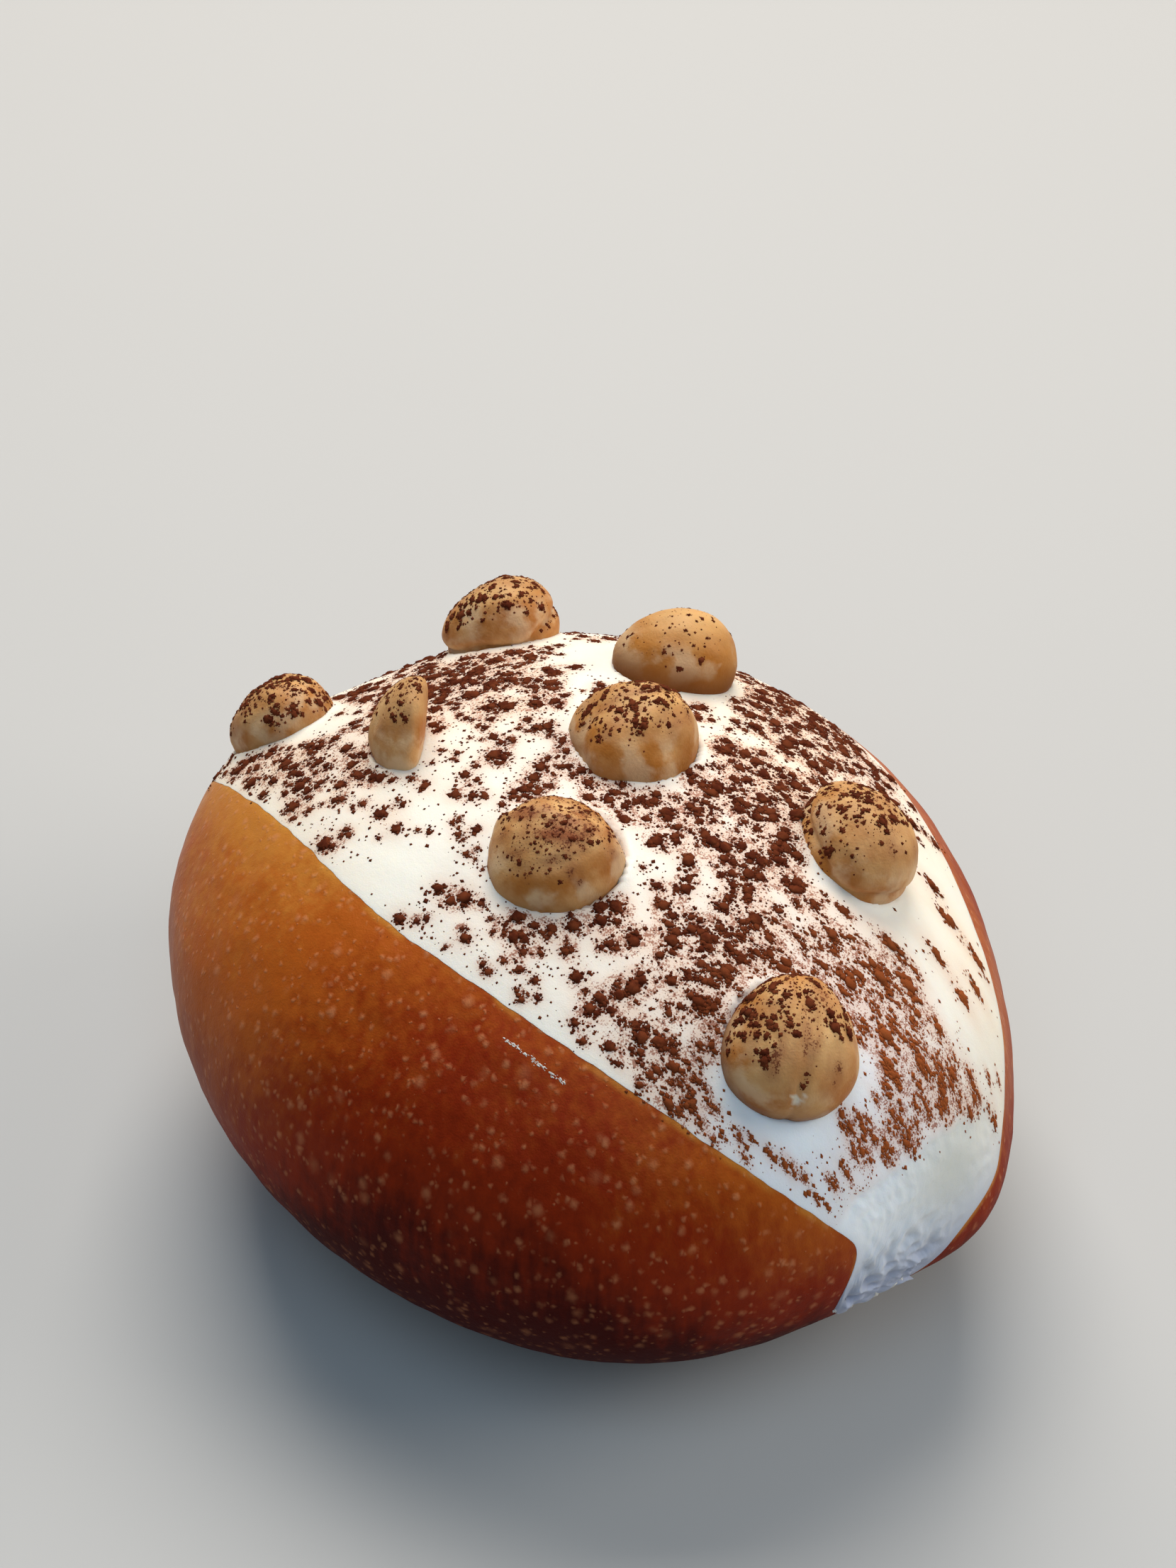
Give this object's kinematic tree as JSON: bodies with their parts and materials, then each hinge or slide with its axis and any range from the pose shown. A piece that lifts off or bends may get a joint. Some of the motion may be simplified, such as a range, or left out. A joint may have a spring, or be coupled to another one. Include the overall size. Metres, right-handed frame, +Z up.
{
  "type": "maritozzo",
  "caption": "Round sweet bun split along its top, filled flush with whipped cream, dusted with cocoa and topped with roasted hazelnuts.",
  "frame": {"origin": "middle of the base, on the surface that it rests on", "axes": "+X along the cut, towards the end that the picture shows nearest; +Y towards the crust half that the filling hides; +Z up"},
  "size_m": [0.1074, 0.0924, 0.0667],
  "materials": {
    "crust": "satin baked crust",
    "cream": "soft whipped cream",
    "hazelnut": "satin roasted kernel"
  },
  "bodies": {
    "root": {"bun": "crust", "cream": "cream", "hazelnut_1": "hazelnut", "hazelnut_2": "hazelnut", "hazelnut_3": "hazelnut", "hazelnut_4": "hazelnut", "hazelnut_5": "hazelnut", "hazelnut_6": "hazelnut", "hazelnut_7": "hazelnut", "hazelnut_8": "hazelnut"}
  },
  "joints": []
}
